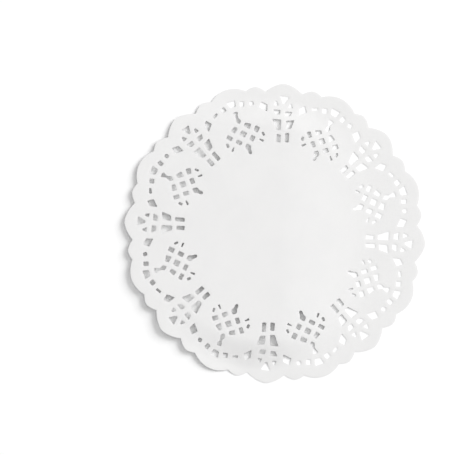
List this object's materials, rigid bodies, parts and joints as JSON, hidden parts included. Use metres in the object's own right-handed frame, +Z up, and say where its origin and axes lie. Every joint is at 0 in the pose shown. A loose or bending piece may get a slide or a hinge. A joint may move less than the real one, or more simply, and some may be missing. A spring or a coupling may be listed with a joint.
{
  "type": "paper doily",
  "caption": "Flat round die-cut paper doily with a plain centre, a ring of lattice petals between spokes, and a scalloped edge.",
  "frame": {"origin": "centre of the doily, on its underside", "axes": "+Z up out of the sheet's face, with a spoke along each of +X and +Y"},
  "size_m": [0.1016, 0.1016, 0.001],
  "materials": {
    "paper": "matt, uncoated"
  },
  "bodies": {
    "root": {"doily_sheet": "paper"}
  },
  "joints": []
}
